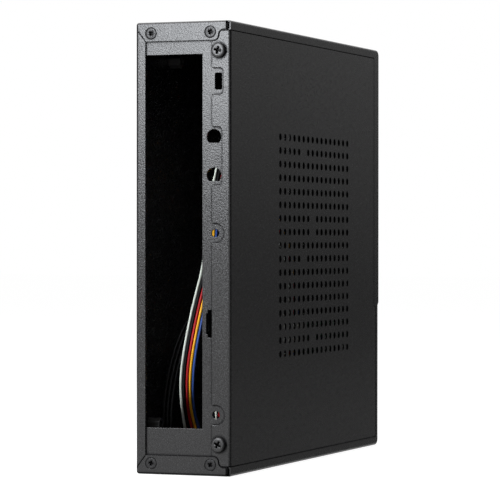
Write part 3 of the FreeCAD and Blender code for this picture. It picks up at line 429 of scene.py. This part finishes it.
def without(piece, cutters):
    """Takes the cutters out of a piece, and leaves its plain mesh."""
    tool = bpy.data.objects.new(piece.name + "_tool", cutters)
    scene.collection.objects.link(piece)
    scene.collection.objects.link(tool)
    cut = piece.modifiers.new("cut", "BOOLEAN")
    cut.object = tool
    cut.operation = "DIFFERENCE"
    cut.solver = "EXACT"
    ready = piece.evaluated_get(bpy.context.evaluated_depsgraph_get())
    mesh = bpy.data.meshes.new_from_object(ready)
    piece.modifiers.clear()
    piece.data = mesh
    scene.collection.objects.unlink(piece)
    bpy.data.objects.remove(tool)
    return piece


def finished(work, name):
    """Mesh made from a bmesh, merged, with outward normals and smooth shading."""
    bmesh.ops.remove_doubles(work, verts=work.verts, dist=MERGE_DISTANCE)
    bmesh.ops.recalc_face_normals(work, faces=work.faces)
    for face in work.faces:
        face.smooth = True
    mesh = bpy.data.meshes.new(name)
    work.to_mesh(mesh)
    work.free()
    return mesh


def deepened(work, mouth, depth):
    """Extrudes a cutter's mouth along Y, and gives the corners of its floor."""
    floor = bmesh.ops.extrude_face_region(work, geom=[mouth])["geom"]
    corners = [item for item in floor if isinstance(item, bmesh.types.BMVert)]
    bmesh.ops.translate(work, vec=(0, depth, 0), verts=corners)
    return corners


CUT_LEAD = 0.00015
MITRE_DEPTH = 0.00082
MITRE_CUT = ((-0.0219, 0.19005), (-0.0174, 0.18415), (-0.0174, 0.18495), (-0.0219, 0.19085))
NOTCH_CUT = ((0.01950, 0.1889), (0.0213, 0.1889), (0.0213, 0.1926), (0.01950, 0.1926))


def end_cuts():
    """Cutters that open the mitres and the notches at both ends of the rear face."""
    work = bmesh.new()
    for outline, depth in ((MITRE_CUT, MITRE_DEPTH), (NOTCH_CUT, 2 * SHEET)):
        for low_end in (False, True):
            corners = [work.verts.new((x, REAR_FACE - CUT_LEAD, CASE_HEIGHT - z if low_end else z))
                       for x, z in outline]
            deepened(work, work.faces.new(corners), depth + CUT_LEAD)
    return finished(work, "end cuts")


shell = bpy.data.objects.new("base_shell_piece", clean_mesh("base_shell"))
without(shell, end_cuts())
put(softened(shell, CUT_EDGE, clamped=True), "case", "powder_coat", COAT, "base_shell")

# Rear plate: a second folded sheet behind the shell's strip and tabs, punched with the
# board aperture, lock slot, aerial holes and sight holes, and coated with the shell.
dressed("io_plate", "case", "powder_coat", COAT, CUT_EDGE)

# Side cover: the vented sheet that lies flush in the shell's lips and folds over the rear
# plate. Its round vents are punched in a 6 mm grid that leaves five places closed, and
# their walls carry painted shade.
COVER_EDGE = 0.00028
RIM_SHARE = 0.22
VENT_RADIUS = 0.00153
VENT_SIDES = 24
VENT_PITCH = 0.006
VENT_ROWS = 17
VENT_COLUMNS = 16
VENT_PUNCH = 0.004
VENT_SLOPE = 0.3
COVER_DEPTH = 0.0005
FIRST_VENT = Vector((0.02135, -0.03895, 0.1454))
UNPUNCHED = ((2, 6), (7, 8), (8, 8), (10, 6), (16, 8))

work = bmesh.new()
for row in range(VENT_ROWS):
    for column in range(VENT_COLUMNS):
        if (row + 1, column + 1) not in UNPUNCHED:
            centre = FIRST_VENT + Vector((0, column * VENT_PITCH, -row * VENT_PITCH))
            turn = Matrix.Translation(centre) @ Matrix.Rotation(math.pi / 2, 4, "Y")
            bmesh.ops.create_cone(work, cap_ends=True, segments=VENT_SIDES, radius1=VENT_RADIUS,
                                  radius2=VENT_RADIUS, depth=VENT_PUNCH, matrix=turn)
cover = bpy.data.objects.new("side_cover_piece", clean_mesh("side_cover"))
without(cover, finished(work, "vent punches"))


def mark_vents(mesh):
    """Marks the walls of the vents, which get painted shade, and how far each sharp edge is
    rounded: their rims less.
    """
    work = bmesh.new()
    work.from_mesh(mesh)
    walls = work.faces.layers.float.new(PUNCHED)
    weights = work.edges.layers.float.new("bevel_weight_edge")
    rear = FIRST_VENT.y - VENT_PITCH / 2
    front = FIRST_VENT.y + (VENT_COLUMNS - 0.5) * VENT_PITCH
    low = FIRST_VENT.z - (VENT_ROWS - 0.5) * VENT_PITCH
    high = FIRST_VENT.z + VENT_PITCH / 2
    for face in work.faces:
        centre = face.calc_center_median()
        in_field = rear < centre.y < front and low < centre.z < high
        in_cover = centre.x > FIRST_VENT.x - COVER_DEPTH
        face[walls] = float(in_field and in_cover and abs(face.normal.x) < VENT_SLOPE)
    for edge in work.edges:
        if len(edge.link_faces) == 2 and edge.calc_face_angle(0) > math.radians(SHARP_ANGLE):
            edge[weights] = RIM_SHARE if any(face[walls] for face in edge.link_faces) else 1.0
    work.to_mesh(mesh)
    work.free()


mark_vents(cover.data)
put(softened(cover, COVER_EDGE, weighted=True), "case", "powder_coat", COAT, "side_cover")

# Cover and plate screws: black zinc-plated steel with cross recesses. Two pan heads clamp
# the cover, and four countersunk heads hold the plate in the shell's end tabs.
PAN_RISE = 0.0020
PAN_PROFILE = ((0, -PAN_RISE), (0.0020, -PAN_RISE), (0.0026, -0.00196), (0.0029, -0.00178),
               (0.00305, -0.0014), (0.0031, -0.0008), (0.0031, 0), (0.00145, 0),
               (0.00145, 0.005), (0, 0.0054))
SUNK_PROFILE = ((0, 0.00002), (0.0021, 0.00003), (0.0023, 0.00008), (0.00238, 0.00022),
                (0.0019, 0.0008), (0.00145, 0.0008), (0.00145, 0.0058), (0, 0.0061))
PAN_RECESS = {"long": 0.0044, "wide": 0.0012, "deep": 0.0040, "face": -PAN_RISE}
SUNK_RECESS = {"long": 0.0031, "wide": 0.0013, "deep": 0.0030, "face": -0.0001}
RECESS_TAPER = 0.5
SCREW_SIDES = 48
SCREW_SHARP_ANGLE = 40
COVER_SCREW_X = 0.01655
PLATE_SCREW_LEFT = -0.01475
PLATE_SCREW_RIGHT = 0.01245
PLATE_SCREW_LOW = 0.00475
PLATE_SCREW_HIGH = CASE_HEIGHT - PLATE_SCREW_LOW
BLACK_ZINC = {"colour": (0.016, 0.016, 0.017), "roughness": 0.36, "grain": 2600.0,
              "speckle": 0.35, "change": 0.12, "bump": 0.000006}


def turned(profile):
    """Solid turned about the Y axis from its half section, given as radius and place."""
    work = bmesh.new()
    corners = [work.verts.new((radius, along, 0)) for radius, along in profile]
    edges = [work.edges.new(pair) for pair in zip(corners, corners[1:])]
    bmesh.ops.spin(work, geom=corners + edges, cent=(0, 0, 0), axis=(0, 1, 0),
                   angle=2 * math.pi, steps=SCREW_SIDES, use_merge=True)
    return finished(work, "turned")


def cross_punch(long, wide, deep, face):
    """Tapered cross that a driver recess is punched with, along the Y axis."""
    work = bmesh.new()
    tip = long / 2
    arm = wide / 2
    quarter = ((tip, -arm), (tip, arm), (arm, arm))
    outline = []
    for turn in range(4):
        spin = Matrix.Rotation(turn * math.pi / 2, 3, "Y")
        outline += [work.verts.new(spin @ Vector((x, face - deep / 2, -z))) for x, z in quarter]
    floor_corners = deepened(work, work.faces.new(outline), deep)
    bmesh.ops.scale(work, vec=(RECESS_TAPER, 1, RECESS_TAPER), verts=floor_corners)
    return finished(work, "cross punch")


def screws(name, profile, recess, places, slot, material, node_name, edge,
           facing=Matrix.Identity(4)):
    """Cross-recessed screws at their places, each turned by its own angle about its axis."""
    pattern = without(bpy.data.objects.new(name, turned(profile)), cross_punch(**recess)).data
    work = bmesh.new()
    for place, angle in places:
        before = len(work.verts)
        work.from_mesh(pattern)
        work.verts.ensure_lookup_table()
        seat = Matrix.Translation(place) @ facing @ Matrix.Rotation(math.radians(angle), 4, "Y")
        bmesh.ops.transform(work, matrix=seat, verts=work.verts[before:])
    piece = bpy.data.objects.new(name, finished(work, name))
    put(softened(piece, edge, SCREW_SHARP_ANGLE), "case", slot, material, node_name)


screw_black = finish("black zinc plating", **BLACK_ZINC)
screws("cover_screw_heads", PAN_PROFILE, PAN_RECESS,
       (((COVER_SCREW_X, REAR_FACE, 0.1798), 14), ((COVER_SCREW_X, REAR_FACE, 0.0135), 27)),
       "black_screw", screw_black, "cover_screws", 0.00008)
dull_black = finish("dull black zinc plating", **BLACK_ZINC, specular=0.3)
screws("plate_screw_heads", SUNK_PROFILE, SUNK_RECESS,
       (((PLATE_SCREW_LEFT, REAR_FACE, PLATE_SCREW_HIGH), 38),
        ((PLATE_SCREW_RIGHT, REAR_FACE, PLATE_SCREW_HIGH), 20),
        ((PLATE_SCREW_LEFT, REAR_FACE, PLATE_SCREW_LOW), 12),
        ((PLATE_SCREW_RIGHT, REAR_FACE, PLATE_SCREW_LOW), 33)),
       "black_screw", dull_black, "io_plate_screws", 0.00005)

# Board posts: black hexagonal steel posts, clinched into the base plate and threaded for
# the screws of a mini ITX board. The three long ones carry the drive bracket.
black_steel = finish("black steel", (0.05, 0.05, 0.05), roughness=0.38, grain=1800.0,
                     speckle=0.3, change=0.12, bump=0.000005, metallic=0.6)
dressed("board_posts", "case", "black_steel", black_steel, 0.0001)
dressed("bracket_posts", "case", "black_steel", black_steel, 0.0001)

# Drive bracket: a coated sheet tray on the three long posts, for one small drive held by
# rubber grommets, with a bright zinc-plated pan head in each post.
dressed("drive_bracket", "case", "bracket_paint", COAT, CUT_EDGE)
rubber = finish("grommet rubber", (0.018, 0.018, 0.018), roughness=0.72, grain=2400.0,
                speckle=0.3, change=0.1, bump=0.00001, specular=0.35)
dressed("drive_grommets", "case", "grommet_rubber", rubber, 0.00025)
zinc = finish("zinc plating", (0.30, 0.30, 0.29), roughness=0.30, grain=2600.0,
              speckle=0.3, change=0.12, bump=0.000005, metallic=0.9)
BRACKET_RECESS = {"long": 0.0038, "wide": 0.0008, "deep": 0.0026, "face": -PAN_RISE}
BRACKET_FRONT = 0.0868
BRACKET_REAR = 0.0092
BRACKET_HIGH = 0.1873
BRACKET_LOW = 0.0962
along_x = Matrix.Rotation(math.pi / 2, 4, "Z")
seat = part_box("drive_bracket")[0][0] + SHEET
screws("bracket_screw_heads", PAN_PROFILE, BRACKET_RECESS,
       (((seat, BRACKET_FRONT, BRACKET_HIGH), 10), ((seat, BRACKET_FRONT, BRACKET_LOW), 50),
        ((seat, BRACKET_REAR, BRACKET_HIGH), 30)),
       "zinc_screw", zinc, "bracket_screws", 0.00008, along_x)

# Front port panel: a moulded black panel seated from inside in the window of the stepped
# front wall, with its circuit board screwed to four bosses.
panel_plastic = finish("spark-textured plastic", (0.022, 0.022, 0.024), roughness=0.5,
                       grain=2800.0, speckle=0.35, change=0.1, bump=0.000025)
dressed("front_port_panel", "case", "panel_plastic", panel_plastic, 0.0002)
solder_mask = finish("green solder mask", (0.010, 0.085, 0.035), roughness=0.28,
                     grain=1200.0, speckle=0.5, change=0.1, bump=0.000004)
dressed("front_circuit", "case", "circuit_board", solder_mask, 0.00008)
dressed("circuit_screws", "case", "zinc_screw", zinc, 0.0001)
moulded = finish("moulded black plastic", (0.03, 0.03, 0.031), roughness=0.45,
                 grain=2000.0, speckle=0.25, change=0.1, bump=0.000006)
dressed("power_switch", "case", "switch_plastic", moulded, 0.00012)
clear = finish("clear light pipe", (0.86, 0.9, 0.92), roughness=0.16, grain=900.0,
               speckle=0.05, change=0.04, bump=0.000002, transmission=0.7)
dressed("power_light_pipe", "case", "clear_plastic", clear, 0.00012)
dressed("drive_light_pipe", "case", "clear_plastic", clear, 0.00012)
lamp_body = finish("lamp body", (0.85, 0.82, 0.6), roughness=0.35, grain=1500.0,
                   speckle=0.2, change=0.1, bump=0.000004)
dressed("status_lights", "case", "light_chip", lamp_body, 0.0001)
plated = finish("tin-plated steel", (0.66, 0.66, 0.64), roughness=0.24, grain=2200.0,
                speckle=0.2, change=0.12, bump=0.000004, metallic=1.0)
for number in (1, 2):
    dressed("usb_port_%d" % number, "case", "socket_metal", plated, 0.00008)
    dressed("usb_insert_%d" % number, "case", "insert_plastic", moulded, 0.00012)
    dressed("audio_jack_%d" % number, "case", "jack_plastic", moulded, 0.00018)

# Power button: a smooth black cap that slides in the panel and presses the switch through
# its plunger.
gloss_black = finish("smooth black plastic", (0.018, 0.018, 0.02), roughness=0.22,
                     grain=1600.0, speckle=0.2, change=0.06, bump=0.000003)
dressed("power_button", "button", "button_plastic", gloss_black, 0.00025)
dressed("switch_plunger", "button", "switch_plastic", moulded, 0.0001)

# Connectors: natural nylon sockets on the front board, the header plug of the coloured
# leads and the black plug of the USB leads.
nylon = finish("natural nylon", (0.72, 0.70, 0.62), roughness=0.42, grain=1500.0,
               speckle=0.12, change=0.08, bump=0.000005)
black_nylon = finish("black nylon", (0.025, 0.025, 0.025), roughness=0.46, grain=1500.0,
                     speckle=0.2, change=0.08, bump=0.000005)
dressed("lead_socket", "case", "white_nylon", nylon, 0.00025)
dressed("usb_lead_socket", "case", "white_nylon", nylon, 0.00025)
for name, material in (("header_plug", nylon), ("usb_plug", black_nylon)):
    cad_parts[name].material_slots[0].material = material

# Studio: a white world and floor that rays from the camera, from gloss and through glass
# see at full white, with a plain level of light on the case itself. Grey cards keep its
# reflections dark, and three lamps light it.
WORLD_LIGHT = 0.15
FLOOR_HALF = 6.0
FLOOR_DROP = 0.0002
WHITE = (1, 1, 1, 1)


def seen_white(tree):
    """Mask of the rays that are to see the background itself."""
    ray = node(tree, "ShaderNodeLightPath").outputs
    gloss = maths(tree, "MAXIMUM", ray["Is Camera Ray"], ray["Is Glossy Ray"])
    return maths(tree, "MAXIMUM", gloss, ray["Is Transmission Ray"])


world = bpy.data.worlds.new("white studio")
scene.world = world
world.use_nodes = True
tree = world.node_tree
strength = node(tree, "ShaderNodeMapRange", {"Value": seen_white(tree), "To Min": WORLD_LIGHT})
tree.nodes["Background"].inputs["Color"].default_value = WHITE
tree.links.new(strength.outputs[0], tree.nodes["Background"].inputs["Strength"])

work = bmesh.new()
bmesh.ops.create_grid(work, x_segments=2, y_segments=2, size=FLOOR_HALF,
                      matrix=Matrix.Translation((0, 0, -FLOOR_DROP)))
floor = bpy.data.objects.new("studio_floor", finished(work, "studio floor"))
paper = bpy.data.materials.new("white paper")
paper.use_nodes = True
tree = paper.node_tree
shader = tree.nodes["Principled BSDF"]
shader.inputs["Base Color"].default_value = (0.3, 0.3, 0.3, 1)
shader.inputs["Roughness"].default_value = 0.9
shader.inputs["Specular IOR Level"].default_value = 0.0
shader.inputs["Emission Color"].default_value = WHITE
glow = node(tree, "ShaderNodeMapRange",
            {"Value": seen_white(tree), "To Min": 0.0, "To Max": 0.95})
tree.links.new(glow.outputs[0], shader.inputs["Emission Strength"])
floor.data.materials.append(paper)
scene.collection.objects.link(floor)


def flag(name, corner, across, up, low_level, high_level):
    """Grey card that only gloss sees, as a studio flag that keeps a reflection dark."""
    work = bmesh.new()
    low = Vector(corner)
    sides = (low, low + Vector(across), low + Vector(across) + Vector(up), low + Vector(up))
    work.faces.new([work.verts.new(side) for side in sides])
    card = bpy.data.objects.new(name, finished(work, name))
    paint = bpy.data.materials.new(name)
    paint.use_nodes = True
    tree = paint.node_tree
    shader = tree.nodes["Principled BSDF"]
    shader.inputs["Base Color"].default_value = (0, 0, 0, 1)
    shader.inputs["Specular IOR Level"].default_value = 0.0
    shader.inputs["Emission Color"].default_value = WHITE
    place = node(tree, "ShaderNodeTexCoord").outputs["Object"]
    height = node(tree, "ShaderNodeSeparateXYZ", {"Vector": place}).outputs["Z"]
    shade = node(tree, "ShaderNodeMapRange",
                 {"Value": height, "From Min": 0.05, "From Max": 0.35,
                  "To Min": low_level, "To Max": high_level})
    tree.links.new(shade.outputs[0], shader.inputs["Emission Strength"])
    card.data.materials.append(paint)
    card.visible_camera = False
    card.visible_diffuse = False
    card.visible_shadow = False
    scene.collection.objects.link(card)


flag("side_flag", corner=(0.03, 0.9, -0.1), across=(1.69, 0, 0), up=(0, 0, 1.6),
     low_level=0.09, high_level=0.32)
flag("floor_flag", corner=(0.0222, -0.2, 0.0005), across=(1.7, 0, 0), up=(0, 1.1, 0),
     low_level=0.16, high_level=0.16)
flag("right_flag", corner=(0.9, -0.75, -0.1), across=(0, 1.65, 0), up=(0, 0, 1.2),
     low_level=0.05, high_level=0.05)
flag("left_flag", corner=(-0.7, -0.65, -0.1), across=(0, 1.85, 0), up=(0, 0, 1.2),
     low_level=0.05, high_level=0.05)


def softbox(name, place, target, wide, high, watts, gloss=True, diffuse=True,
            colour=(1, 1, 1)):
    """Rectangular lamp that faces its target and isn't seen itself."""
    lamp = bpy.data.lights.new(name, "AREA")
    lamp.color = colour
    lamp.shape = "RECTANGLE"
    lamp.size = wide
    lamp.size_y = high
    lamp.energy = watts
    body = bpy.data.objects.new(name, lamp)
    body.location = place
    facing = Vector(target) - Vector(place)
    body.rotation_euler = facing.to_track_quat("-Z", "Y").to_euler()
    body.visible_camera = False
    body.visible_glossy = gloss
    body.visible_diffuse = diffuse
    scene.collection.objects.link(body)


softbox("key_softbox", place=(-0.13, -0.55, 0.417), target=(-0.13, -0.1, 0.417),
        wide=0.24, high=0.50, watts=5.8, diffuse=False, colour=(0.96, 0.99, 1.03))
softbox("fill_softbox", place=(-0.3, -0.55, 0.42), target=(0, -0.1, 0.14),
        wide=0.06, high=0.06, watts=4.5, gloss=False)
softbox("top_softbox", place=(-0.25, -0.1, 1.0), target=(0, 0, 0.1),
        wide=1.0, high=1.0, watts=7.0)
